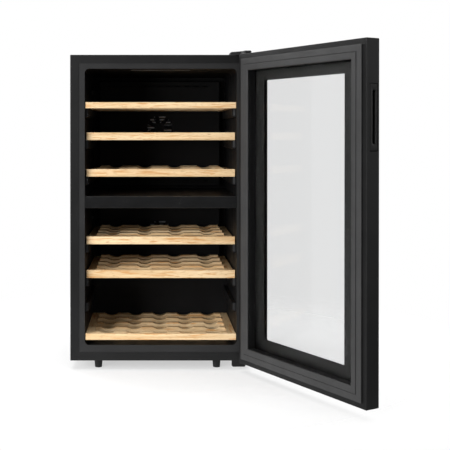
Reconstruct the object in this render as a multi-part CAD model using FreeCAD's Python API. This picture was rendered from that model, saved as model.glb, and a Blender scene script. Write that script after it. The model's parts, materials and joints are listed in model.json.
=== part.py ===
import FreeCAD, Part
import math
import os

# Free-standing two-zone wine cooler with a full glass door, standing open.
# Drawn with Z measured from the underside of the cabinet, then lifted onto its feet,
# so the finished frame has its origin on the floor at the centre of the cabinet.
# X to the right seen from the front, Y towards the back, Z up. All sizes in millimetres.

os.makedirs("parts", exist_ok=True)
V = FreeCAD.Vector

# ---- Cabinet ----
CABINET_WIDTH = 480.0
CABINET_HEIGHT = 810.0
CABINET_DEPTH = 440.0
SHEET = 0.8
PAN_SHEET = 1.2
SHEET_BEND = 2.0
SIDE_RETURN = 23.0
TOP_RETURN = 22.0
HALF = CABINET_WIDTH / 2
FRONT = -CABINET_DEPTH / 2
REAR = CABINET_DEPTH / 2

# ---- Cavity ----
CAVITY_HALF = 201.5
CAVITY_FLOOR = 40.6
CAVITY_CEILING = 773.3
CAVITY_BACK = REAR - 42.0
CAVITY_CORNER = 12.0
LINER_WALL = 2.0
FLANGE_LAP = 5.0
FLANGE_FRONT = FRONT + PAN_SHEET
RIB_PROUD = 11.0
RIB_HEIGHT = 24.0
RIB_FRONT = FRONT + 20.0
RIB_BACK = 140.0

# ---- Compressor bay, at the bottom of the back ----
BAY_DEPTH = 105.0
BAY_TOP = 160.0
BAY_INSULATION = 22.0
BAY_FRONT = REAR - BAY_DEPTH
HUMP_FRONT = BAY_FRONT - BAY_INSULATION
HUMP_TOP = BAY_TOP + BAY_INSULATION

# ---- Shelves: underside, top, half width and front face of each wooden front ----
SHELF_FRONT_THICKNESS = 14.0
SLIDING_HALF = 198.0
FIXED_HALF = 200.0
SLIDING_FRONT = FRONT + 16.0
FIXED_FRONT = FRONT + 4.0
SHELF_BACK = 138.0
SLIDE_GAP = 0.2
RUNNER_WIDTH = 22.0
RUNNER_HEIGHT = 14.0
SLAT_WIDTH = 20.0
SLAT_COUNT = 5
BOTTLE_RADIUS = 38.0
CRADLE_DEPTH = 6.0
SLIDING_SHELVES = {
    "shelf_2": (584.0, 604.4),
    "shelf_3": (486.5, 506.5),
    "shelf_4": (306.3, 327.0),
    "shelf_5": (216.2, 237.0),
}
TOP_RACK = (668.5, 684.7)
BOTTOM_RACK = (53.7, 70.5)
SPARE_RIB_TOP = 149.0

# ---- Divider between the zones ----
DIVIDER_BOTTOM = 403.8
DIVIDER_TOP = 434.8
DIVIDER_FRONT = FRONT + 9.0
DUCT_FRONT = 150.0
DUCT_HALF = 185.0
DUCT_WALL = 2.0
PANEL_THICKNESS = 6.0
LAMP_FRONT = FRONT + 60.0
LAMP_DEPTH = 12.0

# ---- Fans ----
FAN_RADIUS = 37.0
FAN_HOLE = 39.0
FAN_HALF = 43.0
FAN_DEPTH = 15.0
HUB_RADIUS = 15.0
SPINDLE_RADIUS = 3.0
RUNNING_GAP = 0.05
UPPER_FAN_HEIGHT = 620.0
LOWER_FAN_HEIGHT = 300.0
FAN_BACK_GAP = 3.0

# ---- Door, drawn shut and then turned open about its pivot ----
DOOR_BOTTOM = 1.0
DOOR_TOP = 809.0
DOOR_THICKNESS = 36.0
DOOR_GAP = 6.5
DOOR_OPEN = 119.4
DOOR_BACK = FRONT - DOOR_GAP
DOOR_FACE = DOOR_BACK - DOOR_THICKNESS
PIVOT_INSET = 12.0
PIVOT_DEPTH = 20.0
PIVOT = V(HALF - PIVOT_INSET, DOOR_BACK - PIVOT_DEPTH, 0)
DOOR_BORDER = 45.0
DOOR_RIM = 3.0
PANE = 4.0
GLASS_UNIT = 18.0
UNIT_LAP = 12.0
SPACER_WIDTH = 8.0
PRINT = 0.4
WINDOW_HINGE_INSET = 81.0
WINDOW_FREE_INSET = 96.0
WINDOW_BOTTOM = 73.0
WINDOW_TOP = 738.0
GASKET_INSET = 13.0
GASKET_HEIGHT = 6.0
HANDLE_BOTTOM = 562.0
HANDLE_TOP = 711.0
HANDLE_NEAR = 8.5
HANDLE_FAR = 31.5
HANDLE_DEPTH = 20.0
SLOT_MARGIN = 15.5
SLOT_NEAR = 17.0
SLOT_FAR = 26.0

# ---- Hinges and feet ----
PIN_RADIUS = 4.0
BUSH_RADIUS = 6.5
BUSH_LENGTH = 14.0
BRACKET_THICKNESS = 3.0
KNUCKLE_RADIUS = 7.0
BRACKET_LEFT = 188.0
BRACKET_RIGHT = 235.0
BRACKET_REACH = 60.0
BRACKET_CHAMFER = 14.0
CAP_HEIGHT = 8.5
CAP_WALL = 1.2
SCREW_RADIUS = 2.5
SCREW_HEAD_RADIUS = 4.5
SCREW_HEAD = 2.4
SCREW_PITCH = 28.0
SCREW_SETBACKS = (18.0, 46.0)
FOOT_HEIGHT = 25.0
FOOT_TOP_RADIUS = 11.0
FOOT_SOLE_RADIUS = 9.5
FOOT_BODY = 21.0
STUD_RADIUS = 4.0
STUD_CLEARANCE = 0.06
NUT_RADIUS = 9.0
NUT_HEIGHT = 12.0
FEET = {
    "foot_front_left": (-167.0, FRONT + 35.0),
    "foot_front_right": (150.0, FRONT + 35.0),
    "foot_rear_left": (-167.0, REAR - 35.0),
    "foot_rear_right": (167.0, REAR - 35.0),
}


def box(x0, x1, y0, y1, z0, z1):
    return Part.makeBox(x1 - x0, y1 - y0, z1 - z0, V(x0, y0, z0))


def rod(radius, start, end):
    along = end - start
    return Part.makeCylinder(radius, along.Length, start, along)


def fuse(shapes):
    whole = shapes[0].multiFuse(shapes[1:]) if len(shapes) > 1 else shapes[0]
    return whole.removeSplitter()


def cut(shape, tools):
    return shape.cut(Part.makeCompound(tools)).removeSplitter()


def softened(shape, radius):
    """The shape with every edge rounded."""
    return shape.makeFillet(radius, shape.Edges)


def edges_along(shape, axis):
    """The straight edges of a shape that run along one axis."""
    found = []
    for edge in shape.Edges:
        a = edge.Vertexes[0].Point
        b = edge.Vertexes[-1].Point
        step = b - a
        if step.Length > 0 and abs(step.dot(axis)) > 0.999 * step.Length:
            found.append(edge)
    return found


def upright_panel(x0, x1, z0, z1, y0, y1, radius):
    """A slab facing the front, with its four corners rounded."""
    slab = box(x0, x1, y0, y1, z0, z1)
    return slab.makeFillet(radius, edges_along(slab, V(0, 1, 0)))


def export(name, shape):
    """Writes one piece, lifted so that the feet stand on the floor."""
    lifted = shape.copy()
    lifted.translate(V(0, 0, FOOT_HEIGHT))
    lifted.exportStep("parts/" + name + ".step")


# ---- Cabinet ----
def cabinet_wrap():
    """Top and both sides in one folded sheet, with a return lip around the front."""
    outer = box(-HALF, HALF, FRONT, REAR, 0, CABINET_HEIGHT)
    bends = [
        edge for edge in outer.Edges
        if edge.CenterOfMass.z > CABINET_HEIGHT - 1 and abs(edge.CenterOfMass.x) > HALF - 1
        or edge.CenterOfMass.y < FRONT + 1 and edge.CenterOfMass.z > 1
    ]
    outer = outer.makeFillet(SHEET_BEND, bends)
    inner = box(-HALF + SHEET, HALF - SHEET, FRONT + SHEET, REAR, 0, CABINET_HEIGHT - SHEET)
    inner_bends = [
        edge for edge in inner.Edges
        if edge.CenterOfMass.z > CABINET_HEIGHT - 2 and abs(edge.CenterOfMass.x) > HALF - 2
        or edge.CenterOfMass.y < FRONT + 2 and edge.CenterOfMass.z > 1
    ]
    inner = inner.makeFillet(SHEET_BEND - SHEET, inner_bends)
    mouth_half = HALF - SIDE_RETURN
    mouth = box(-mouth_half, mouth_half, FRONT - 1, REAR, -1, CABINET_HEIGHT - TOP_RETURN)
    shell = cut(outer, [inner, mouth])
    holes = [
        rod(SCREW_RADIUS + 0.2, V(x, y, CABINET_HEIGHT - 2), V(x, y, CABINET_HEIGHT + 1))
        for x, y in screw_places()
    ]
    return cut(shell, holes)


def base_pan():
    """The bottom sheet with its front rail, drilled for the feet and the lower hinge."""
    plate = box(-HALF + SHEET_BEND, HALF - SHEET_BEND, FRONT + SHEET_BEND, REAR - SHEET, 0, PAN_SHEET)
    rail_half = HALF - SIDE_RETURN
    rail = box(-rail_half, rail_half, FRONT, FRONT + PAN_SHEET, 0, TOP_RETURN)
    lip = box(-rail_half, rail_half, FRONT, FRONT + SHEET_BEND, 0, PAN_SHEET)
    pan = fuse([plate, rail, lip])
    holes = [
        rod(STUD_RADIUS + 0.5, V(x, y, -1), V(x, y, PAN_SHEET + 1))
        for x, y in FEET.values()
    ]
    holes += [
        rod(SCREW_RADIUS + 0.2, V(x, y, -1), V(x, y, PAN_SHEET + 1))
        for x, y in screw_places()
    ]
    return cut(pan, holes)


def back_panel():
    return box(-HALF + SHEET, HALF - SHEET, REAR - SHEET, REAR,
               BAY_TOP + SHEET, CABINET_HEIGHT - SHEET)


def bay_partition():
    """The sheet that walls the compressor bay off from the insulation."""
    wall = box(-HALF + SHEET, HALF - SHEET, BAY_FRONT - SHEET, BAY_FRONT, PAN_SHEET, BAY_TOP)
    ceiling = box(-HALF + SHEET, HALF - SHEET, BAY_FRONT - SHEET, REAR - SHEET,
                  BAY_TOP, BAY_TOP + SHEET)
    return fuse([wall, ceiling])


def cavity_solid(grow):
    """The space that the liner wraps, grown by a wall thickness."""
    room = upright_panel(-CAVITY_HALF - grow, CAVITY_HALF + grow,
                         CAVITY_FLOOR - grow, CAVITY_CEILING + grow,
                         FRONT, CAVITY_BACK + grow, CAVITY_CORNER + grow)
    hump = box(-HALF, HALF, HUMP_FRONT + grow, REAR, 0, HUMP_TOP - grow)
    return cut(room, [hump])


def guide_rib(side, top):
    """One moulded shelf guide on a side wall, with a rounded nose."""
    outer = side * CAVITY_HALF
    inner = side * (CAVITY_HALF - RIB_PROUD)
    rib = box(min(outer, inner), max(outer, inner), RIB_FRONT, RIB_BACK, top - RIB_HEIGHT, top)
    nose = [
        edge for edge in edges_along(rib, V(0, 0, 1))
        if edge.CenterOfMass.y < RIB_FRONT + 1 and abs(edge.CenterOfMass.x) < CAVITY_HALF - 1
    ]
    rib = rib.makeFillet(RIB_PROUD * 0.8, nose)
    lower = [
        edge for edge in edges_along(rib, V(0, 1, 0))
        if edge.CenterOfMass.z < top - 1 and abs(edge.CenterOfMass.x) < CAVITY_HALF - 1
    ]
    return rib.makeFillet(RIB_PROUD * 0.5, lower)


def inner_liner():
    """The moulded lining: a box with a front flange, shelf guides and a step over the bay."""
    flange_half = HALF - SIDE_RETURN + FLANGE_LAP
    flange = box(-flange_half, flange_half, FLANGE_FRONT, FLANGE_FRONT + LINER_WALL,
                 TOP_RETURN - FLANGE_LAP, CABINET_HEIGHT - TOP_RETURN + FLANGE_LAP)
    front_trim = box(-HALF, HALF, FRONT - 1, FLANGE_FRONT, 0, CABINET_HEIGHT)
    body = cavity_solid(LINER_WALL).cut(front_trim)
    shell = cut(fuse([flange, body]), [cavity_solid(0)])
    tops = [low for low, high in SLIDING_SHELVES.values()] + [TOP_RACK[0], SPARE_RIB_TOP]
    ribs = [
        guide_rib(side, top - SLIDE_GAP if top > SPARE_RIB_TOP else top)
        for side in (-1, 1) for top in tops if top > HUMP_TOP
    ]
    short_ribs = [
        guide_rib(side, SPARE_RIB_TOP).cut(box(-HALF, HALF, HUMP_FRONT - 5, REAR, 0, CABINET_HEIGHT))
        for side in (-1, 1)
    ]
    return cut(fuse([shell] + ribs + short_ribs), [lamp_lens(CAVITY_CEILING, RUNNING_GAP)])


def backing_plates():
    """Threaded plates inside the insulation that the hinge screws bite into."""
    x0 = BRACKET_LEFT + 4
    x1 = BRACKET_RIGHT - 2
    y0 = FRONT + 8
    y1 = FRONT + BRACKET_REACH - 4
    upper = box(x0, x1, y0, y1, CABINET_HEIGHT - SHEET - BRACKET_THICKNESS, CABINET_HEIGHT - SHEET)
    lower = box(x0, x1, y0, y1, PAN_SHEET, PAN_SHEET + BRACKET_THICKNESS)
    drill = [
        rod(SCREW_RADIUS + RUNNING_GAP, V(x, y, -5), V(x, y, CABINET_HEIGHT + 5))
        for x, y in screw_places()
    ]
    return [cut(upper, drill), cut(lower, drill)]


def foam_insulation():
    """Rigid foam that fills the walls between the lining and the outer sheets."""
    start = FLANGE_FRONT + LINER_WALL
    block = box(-HALF + SHEET_BEND, HALF - SHEET_BEND, start, REAR - SHEET,
                PAN_SHEET, CABINET_HEIGHT - SHEET_BEND)
    bay = box(-HALF, HALF, BAY_FRONT - SHEET, REAR, 0, BAY_TOP + SHEET)
    corner_nuts = [
        rod(NUT_RADIUS + 1, V(x, y, 0), V(x, y, NUT_HEIGHT + 3))
        for x, y in FEET.values()
    ]
    pocket_low = box(BRACKET_LEFT, HALF, FRONT, FRONT + BRACKET_REACH, 0, 8)
    pocket_high = box(BRACKET_LEFT, HALF, FRONT, FRONT + BRACKET_REACH,
                      CABINET_HEIGHT - 8, CABINET_HEIGHT)
    return cut(block, [cavity_solid(LINER_WALL), bay, pocket_low, pocket_high] + corner_nuts)


def wall_spacers():
    """Two pegs that keep the back off the wall."""
    pegs = []
    for x in (-180, 180):
        peg = rod(12, V(x, REAR, 760), V(x, REAR + 12, 760))
        tip = [edge for edge in peg.Edges if edge.CenterOfMass.y > REAR + 11]
        pegs.append(peg.makeFillet(2, tip))
    return Part.makeCompound(pegs)


# ---- Zone divider, light and sensors ----
def zone_divider():
    """The partition between the zones, hollow from the front to take the control board."""
    body = box(-CAVITY_HALF, CAVITY_HALF, DIVIDER_FRONT, DUCT_FRONT, DIVIDER_BOTTOM, DIVIDER_TOP)
    wall = 2.5
    pocket = box(-CAVITY_HALF + wall, CAVITY_HALF - wall, DIVIDER_FRONT - 1, DUCT_FRONT - wall,
                 DIVIDER_BOTTOM + wall, DIVIDER_TOP - wall)
    return cut(body, [pocket, lamp_lens(DIVIDER_BOTTOM, RUNNING_GAP)])


def control_panel():
    """The touch fascia on the front of the divider."""
    panel = box(-CAVITY_HALF, CAVITY_HALF, DIVIDER_FRONT - PANEL_THICKNESS, DIVIDER_FRONT,
                DIVIDER_BOTTOM, DIVIDER_TOP)
    face = [edge for edge in panel.Edges if edge.CenterOfMass.y < DIVIDER_FRONT - PANEL_THICKNESS + 0.1]
    return panel.makeFillet(1.2, face)


def control_board():
    """Circuit board behind the fascia, with its display and touch pads."""
    middle = (DIVIDER_BOTTOM + DIVIDER_TOP) / 2
    board = box(-70, 70, DIVIDER_FRONT + 3, DIVIDER_FRONT + 4.6, middle - 12, middle + 12)
    display = box(-18, 18, DIVIDER_FRONT, DIVIDER_FRONT + 3, middle - 7, middle + 7)
    pads = [
        rod(4, V(x, DIVIDER_FRONT, middle), V(x, DIVIDER_FRONT + 3, middle))
        for x in (-56, -42, -28, 28, 42, 56)
    ]
    return fuse([board, display] + pads)


def lamp_lens(ceiling, grow=0.0):
    """One lens let into a ceiling, flush with it, or its slot when grown."""
    return box(-80 - grow, 80 + grow, LAMP_FRONT - grow, LAMP_FRONT + LAMP_DEPTH + grow,
               ceiling - grow, ceiling + LINER_WALL + grow)


def light_strips():
    return Part.makeCompound([lamp_lens(CAVITY_CEILING), lamp_lens(DIVIDER_BOTTOM)])


def temperature_sensors():
    caps = []
    for height in (716, 346):
        cap = box(-CAVITY_HALF, -CAVITY_HALF + 6, 60, 78, height, height + 12)
        inner = [edge for edge in cap.Edges if edge.CenterOfMass.x > -CAVITY_HALF + 5.9]
        caps.append(cap.makeFillet(2, inner))
    return Part.makeCompound(caps)


# ---- Cold-air ducts ----
def duct_cover(bottom, top, fan_height):
    """The moulded cover over an evaporator, with a louvred fan outlet and return slots."""
    shell = box(-DUCT_HALF, DUCT_HALF, DUCT_FRONT, CAVITY_BACK, bottom, top)
    corners = [
        edge for edge in shell.Edges
        if edge.CenterOfMass.y < DUCT_FRONT + 1
    ]
    shell = shell.makeFillet(4, corners)
    hollow = box(-DUCT_HALF + DUCT_WALL, DUCT_HALF - DUCT_WALL, DUCT_FRONT + DUCT_WALL,
                 CAVITY_BACK + 1, bottom + DUCT_WALL, top - DUCT_WALL)
    slots = []
    pitch = 8.0
    for step in range(-4, 5):
        offset = step * pitch
        reach = math.sqrt(FAN_RADIUS ** 2 - offset ** 2)
        slots.append(box(-reach, reach, DUCT_FRONT - 1, DUCT_FRONT + DUCT_WALL + 1,
                         fan_height + offset - 2, fan_height + offset + 2))
    for step in range(-5, 6):
        middle = step * 28.0
        slots.append(box(middle - 9, middle + 9, DUCT_FRONT - 1, DUCT_FRONT + DUCT_WALL + 1,
                         bottom + 14, bottom + 19))
        slots.append(box(middle - 9, middle + 9, DUCT_FRONT - 1, DUCT_FRONT + DUCT_WALL + 1,
                         top - 19, top - 14))
    return cut(shell, [hollow] + slots)


def evaporator(bottom, top):
    """A bonded cooling plate with its raised refrigerant channel."""
    back = CAVITY_BACK - 1
    plate = box(-150, 150, back - 1.5, back, bottom, top)
    rows = 6
    pitch = (top - bottom - 30) / (rows - 1)
    channel = []
    for row in range(rows):
        height = bottom + 15 + row * pitch
        channel.append(rod(3, V(-132, back - 2.5, height), V(132, back - 2.5, height)))
        if row < rows - 1:
            side = 132 if row % 2 == 0 else -132
            channel.append(rod(3, V(side, back - 2.5, height), V(side, back - 2.5, height + pitch)))
    limit = box(-150, 150, back - 6, back, bottom, top)
    return fuse([plate] + [piece.common(limit) for piece in channel])


def fan_frame(half, centre):
    """A square fan housing blowing along -Y, with its spindle on three spokes."""
    start = DUCT_FRONT + FAN_BACK_GAP
    body = box(-half, half, start, start + FAN_DEPTH, centre - half, centre + half)
    body = body.makeFillet(4, edges_along(body, V(0, 1, 0)))
    hole = rod(FAN_HOLE, V(0, start - 1, centre), V(0, start + FAN_DEPTH + 1, centre))
    ring = cut(body, [hole])
    back = start + FAN_DEPTH
    spokes = []
    for index in range(3):
        spoke = box(0, FAN_HOLE + 1, back - 2, back, centre - 2, centre + 2)
        spoke.rotate(V(0, 0, centre), V(0, 1, 0), 120 * index)
        spokes.append(spoke)
    motor = rod(HUB_RADIUS - 1, V(0, back - 3, centre), V(0, back, centre))
    spindle = rod(SPINDLE_RADIUS, V(0, start + 3, centre), V(0, back, centre))
    return fuse([ring, motor, spindle] + spokes)


def fan_rotor(centre):
    """A seven-blade rotor whose hub turns on the spindle."""
    start = DUCT_FRONT + FAN_BACK_GAP
    hub = rod(HUB_RADIUS, V(0, start + 1, centre), V(0, start + FAN_DEPTH - 4, centre))
    blades = []
    blade_count = 7
    for index in range(blade_count):
        blade = box(HUB_RADIUS - 2, FAN_RADIUS, start + 5.4, start + 6.6, centre - 6, centre + 6)
        blade.rotate(V(0, start + 6, centre), V(1, 0, 0), 32)
        blade.rotate(V(0, 0, centre), V(0, 1, 0), index * 360 / blade_count)
        blades.append(blade)
    bore = rod(SPINDLE_RADIUS + RUNNING_GAP, V(0, start + 2.5, centre), V(0, start + FAN_DEPTH, centre))
    return cut(fuse([hub] + blades), [bore])


# ---- Compressor bay ----
COMPRESSOR_X = 90.0
COMPRESSOR_Y = REAR - 54.0
COMPRESSOR_RADIUS = 44.0
COMPRESSOR_BASE = 14.0
COMPRESSOR_TOP = 146.0
GROMMET_HEIGHT = 9.0
CONDENSER_X = -80.0
BAY_FAN_X = 0.0
BAY_FAN_HEIGHT = 70.0
BAY_MIDDLE_Y = REAR - 56.0


def compressor():
    """A sealed motor-compressor: two pressed cups welded at a seam, on a foot plate."""
    can = rod(COMPRESSOR_RADIUS, V(COMPRESSOR_X, COMPRESSOR_Y, COMPRESSOR_BASE),
              V(COMPRESSOR_X, COMPRESSOR_Y, COMPRESSOR_TOP))
    rims = [edge for edge in can.Edges if abs(edge.CenterOfMass.z - (COMPRESSOR_BASE + COMPRESSOR_TOP) / 2) > 60]
    can = can.makeFillet(20, rims)
    seam_height = COMPRESSOR_BASE + 0.6 * (COMPRESSOR_TOP - COMPRESSOR_BASE)
    seam = rod(COMPRESSOR_RADIUS + 3, V(COMPRESSOR_X, COMPRESSOR_Y, seam_height),
               V(COMPRESSOR_X, COMPRESSOR_Y, seam_height + 4))
    base_top = COMPRESSOR_BASE + 2
    base = box(COMPRESSOR_X - 62, COMPRESSOR_X + 62, COMPRESSOR_Y - 42, COMPRESSOR_Y + 42,
               COMPRESSOR_BASE - 2, base_top)
    terminal = box(COMPRESSOR_X + 40, COMPRESSOR_X + 58, COMPRESSOR_Y - 16, COMPRESSOR_Y + 16, 50, 86)
    body = fuse([can, seam, base, terminal])
    holes = [
        rod(5, V(COMPRESSOR_X + dx, COMPRESSOR_Y + dy, 0), V(COMPRESSOR_X + dx, COMPRESSOR_Y + dy, base_top + 1))
        for dx in (-52, 52) for dy in (-33, 33)
    ]
    return cut(body, holes)


def compressor_grommets():
    """Rubber mounts between the foot plate and the pan, waisted through the plate's holes."""
    mounts = []
    for dx in (-52, 52):
        for dy in (-33, 33):
            x = COMPRESSOR_X + dx
            y = COMPRESSOR_Y + dy
            foot = rod(9, V(x, y, PAN_SHEET), V(x, y, COMPRESSOR_BASE - 2))
            neck = rod(4.8, V(x, y, COMPRESSOR_BASE - 2), V(x, y, COMPRESSOR_BASE + 2))
            cap = rod(7, V(x, y, COMPRESSOR_BASE + 2), V(x, y, COMPRESSOR_BASE + 4))
            mounts.append(fuse([foot, neck, cap]))
    return Part.makeCompound(mounts)


def condenser_coil():
    """A finned tube block that sheds the heat, standing on the pan."""
    fins = []
    fin_count = 18
    pitch = 3.6
    start = CONDENSER_X - fin_count * pitch / 2
    for index in range(fin_count):
        x = start + index * pitch
        fins.append(box(x, x + 0.6, BAY_MIDDLE_Y - 38, BAY_MIDDLE_Y + 38, 14, 134))
    end = start + (fin_count - 1) * pitch + 0.6
    tubes = [
        rod(3.5, V(start - 8, BAY_MIDDLE_Y + dy, height), V(end + 8, BAY_MIDDLE_Y + dy, height))
        for dy in (-20, 20) for height in (34, 58, 82, 106)
    ]
    plates = [
        box(x, x + 1.2, BAY_MIDDLE_Y - 40, BAY_MIDDLE_Y + 40, PAN_SHEET, 138)
        for x in (start - 6, end + 4.8)
    ]
    return fuse(plates + tubes + fins)


def to_bay(shape, centre):
    """Turns a fan drawn in the duct to blow along X in the bay."""
    placed = shape.copy()
    placed.translate(V(0, -(DUCT_FRONT + FAN_BACK_GAP), -centre))
    placed.rotate(V(0, 0, 0), V(0, 0, 1), -90)
    placed.translate(V(BAY_FAN_X, BAY_MIDDLE_Y, BAY_FAN_HEIGHT))
    return placed


def refrigerant_line():
    """The discharge tube from the compressor to the condenser, and the filter drier."""
    bend = 10.0
    x0 = COMPRESSOR_X - COMPRESSOR_RADIUS
    y = COMPRESSOR_Y
    z_low = 60.0
    z_high = 150.0
    x_mid = x0 - 24
    x_end = CONDENSER_X + 44
    path = Part.Wire([
        Part.LineSegment(V(x0, y, z_low), V(x_mid + bend, y, z_low)).toShape(),
        Part.Arc(V(x_mid + bend, y, z_low),
                 V(x_mid + bend * (1 - math.sin(math.pi / 4)), y, z_low + bend * (1 - math.cos(math.pi / 4))),
                 V(x_mid, y, z_low + bend)).toShape(),
        Part.LineSegment(V(x_mid, y, z_low + bend), V(x_mid, y, z_high - bend)).toShape(),
        Part.Arc(V(x_mid, y, z_high - bend),
                 V(x_mid - bend * (1 - math.cos(math.pi / 4)), y, z_high - bend * (1 - math.sin(math.pi / 4))),
                 V(x_mid - bend, y, z_high)).toShape(),
        Part.LineSegment(V(x_mid - bend, y, z_high), V(x_end, y, z_high)).toShape(),
    ])
    ring = Part.Wire([Part.makeCircle(2.5, V(x0, y, z_low), V(1, 0, 0))])
    tube = path.makePipeShell([ring], True, True)
    drier_x = -150.0
    drier = fuse([
        rod(9, V(drier_x, BAY_MIDDLE_Y, 50), V(drier_x, BAY_MIDDLE_Y, 120)),
        Part.makeCone(3, 9, 10, V(drier_x, BAY_MIDDLE_Y, 40)),
        Part.makeCone(9, 3, 10, V(drier_x, BAY_MIDDLE_Y, 120)),
    ])
    return Part.makeCompound([tube, drier])


def drip_tray():
    """An open tray over the compressor's foot plate side that boils away the melt water."""
    x0, x1 = -38.0, 24.0
    y0, y1 = BAY_FRONT + 4, REAR - 8
    z0, z1 = PAN_SHEET, 16.0
    wall = 1.5
    tray = box(x0, x1, y0, y1, z0, z1)
    return cut(tray, [box(x0 + wall, x1 - wall, y0 + wall, y1 - wall, z0 + wall, z1 + 1)])


def power_board():
    """The boxed mains supply and compressor drive."""
    case = box(-232, -182, BAY_FRONT + 6, BAY_FRONT + 66, PAN_SHEET, 120)
    return case.makeFillet(3, edges_along(case, V(0, 0, 1)))


INLET_X = -200.0
INLET_Z = 60.0


def mains_inlet():
    """A three-pin appliance inlet in the bay cover, with an empty mouth for the plug."""
    flange = upright_panel(INLET_X - 20, INLET_X + 20, INLET_Z - 14, INLET_Z + 14,
                           REAR - 0.4, REAR + 1.6, 4)
    housing = box(INLET_X - 15, INLET_X + 15, REAR - 20, REAR - 0.4, INLET_Z - 11, INLET_Z + 11)
    mouth = upright_panel(INLET_X - 12.5, INLET_X + 12.5, INLET_Z - 8.5, INLET_Z + 8.5,
                          REAR - 17, REAR + 2, 3)
    pins = [
        box(INLET_X + dx - 1, INLET_X + dx + 1, REAR - 18, REAR - 5, INLET_Z + dz - 2.5, INLET_Z + dz + 2.5)
        for dx, dz in ((-7, -1.5), (0, 2), (7, -1.5))
    ]
    return fuse([cut(fuse([flange, housing]), [mouth])] + pins)


def bay_cover():
    """The louvred cover over the compressor bay."""
    plate = box(-HALF + 3, HALF - 3, REAR - 1.6, REAR - 0.4, 3, BAY_TOP - 1)
    slots = []
    for column in (-1, 0, 1, 2):
        for row in range(8):
            x = column * 92.0 - 6
            z = 24 + row * 15.0
            slots.append(upright_panel(x - 36, x + 36, z, z + 6, REAR - 3, REAR + 1, 2.9))
    inlet_hole = box(INLET_X - 15.2, INLET_X + 15.2, REAR - 3, REAR + 1, INLET_Z - 11.2, INLET_Z + 11.2)
    return cut(plate, slots + [inlet_hole])


# ---- Feet ----
def foot(x, y):
    """A levelling foot: a tapered moulded body on a steel stud."""
    sole = -FOOT_HEIGHT
    body = Part.makeCone(FOOT_SOLE_RADIUS, FOOT_TOP_RADIUS, FOOT_BODY, V(x, y, sole))
    rim = [edge for edge in body.Edges if edge.CenterOfMass.z < sole + 1 and len(edge.Vertexes) == 1]
    body = body.makeFillet(1.5, rim)
    collar = rod(6, V(x, y, sole + FOOT_BODY), V(x, y, -1.5))
    stud = rod(STUD_RADIUS, V(x, y, -1.5), V(x, y, NUT_HEIGHT + 1))
    notches = []
    notch_count = 12
    for index in range(notch_count):
        angle = 2 * math.pi * index / notch_count
        ring = FOOT_TOP_RADIUS + 0.6
        cx = x + ring * math.cos(angle)
        cy = y + ring * math.sin(angle)
        notches.append(rod(1.5, V(cx, cy, sole + 7), V(cx, cy, sole + FOOT_BODY + 1)))
    return cut(fuse([body, collar, stud]), notches)


def foot_nuts():
    """Threaded inserts pressed onto the pan, one above each foot."""
    nuts = []
    for x, y in FEET.values():
        nut = rod(NUT_RADIUS, V(x, y, PAN_SHEET), V(x, y, NUT_HEIGHT))
        bore = rod(STUD_RADIUS + STUD_CLEARANCE, V(x, y, 0), V(x, y, NUT_HEIGHT + 1))
        nuts.append(cut(nut, [bore]))
    return Part.makeCompound(nuts)


# ---- Hinges ----
def screw_places():
    """Centres of the three screws of each hinge bracket, seen from above."""
    near, far = SCREW_SETBACKS
    left = BRACKET_LEFT + 12
    return [
        (left, FRONT + near),
        (left + SCREW_PITCH, FRONT + near),
        (left, FRONT + far),
    ]


def bracket_plate(z0, z1):
    """The flat of a hinge bracket: a plate on the cabinet with a tongue out to the pivot."""
    y0 = FRONT + 4
    y1 = FRONT + BRACKET_REACH
    outline = [
        V(BRACKET_LEFT + BRACKET_CHAMFER, y0, z0),
        V(BRACKET_RIGHT, y0, z0),
        V(BRACKET_RIGHT, y1, z0),
        V(BRACKET_LEFT, y1, z0),
        V(BRACKET_LEFT, y0 + BRACKET_CHAMFER, z0),
    ]
    plate = Part.Face(Part.makePolygon(outline + [outline[0]])).extrude(V(0, 0, z1 - z0))
    plate = plate.makeFillet(4, edges_along(plate, V(0, 0, 1)))
    tongue = box(PIVOT.x - KNUCKLE_RADIUS, BRACKET_RIGHT, PIVOT.y, FRONT + 12, z0, z1)
    knuckle = rod(KNUCKLE_RADIUS, V(PIVOT.x, PIVOT.y, z0), V(PIVOT.x, PIVOT.y, z1))
    holes = [rod(SCREW_RADIUS + 0.2, V(x, y, z0 - 1), V(x, y, z1 + 1)) for x, y in screw_places()]
    return cut(fuse([plate, tongue, knuckle]), holes)


def top_hinge_bracket():
    """Upper bracket, screwed to the roof, with the pin riveted through it."""
    z0 = CABINET_HEIGHT
    z1 = z0 + BRACKET_THICKNESS
    pin = rod(PIN_RADIUS, V(PIVOT.x, PIVOT.y, DOOR_TOP - BUSH_LENGTH + 1), V(PIVOT.x, PIVOT.y, z1 + 2.5))
    return fuse([bracket_plate(z0, z1), pin])


def bottom_hinge_bracket():
    """Lower bracket, screwed under the pan, with a turned-down flange and the lower pin."""
    plate = bracket_plate(-BRACKET_THICKNESS, 0)
    flange_right = BRACKET_LEFT + 37
    flange = box(BRACKET_LEFT, flange_right, FRONT + 2, FRONT + 2 + BRACKET_THICKNESS, -17, 0)
    corners = [
        edge for edge in edges_along(flange, V(0, 1, 0))
        if edge.CenterOfMass.z < -16
    ]
    flange = flange.makeFillet(5, corners)
    pin = rod(PIN_RADIUS, V(PIVOT.x, PIVOT.y, -BRACKET_THICKNESS),
              V(PIVOT.x, PIVOT.y, DOOR_BOTTOM + BUSH_LENGTH - 1))
    return fuse([plate, flange, pin])


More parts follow.
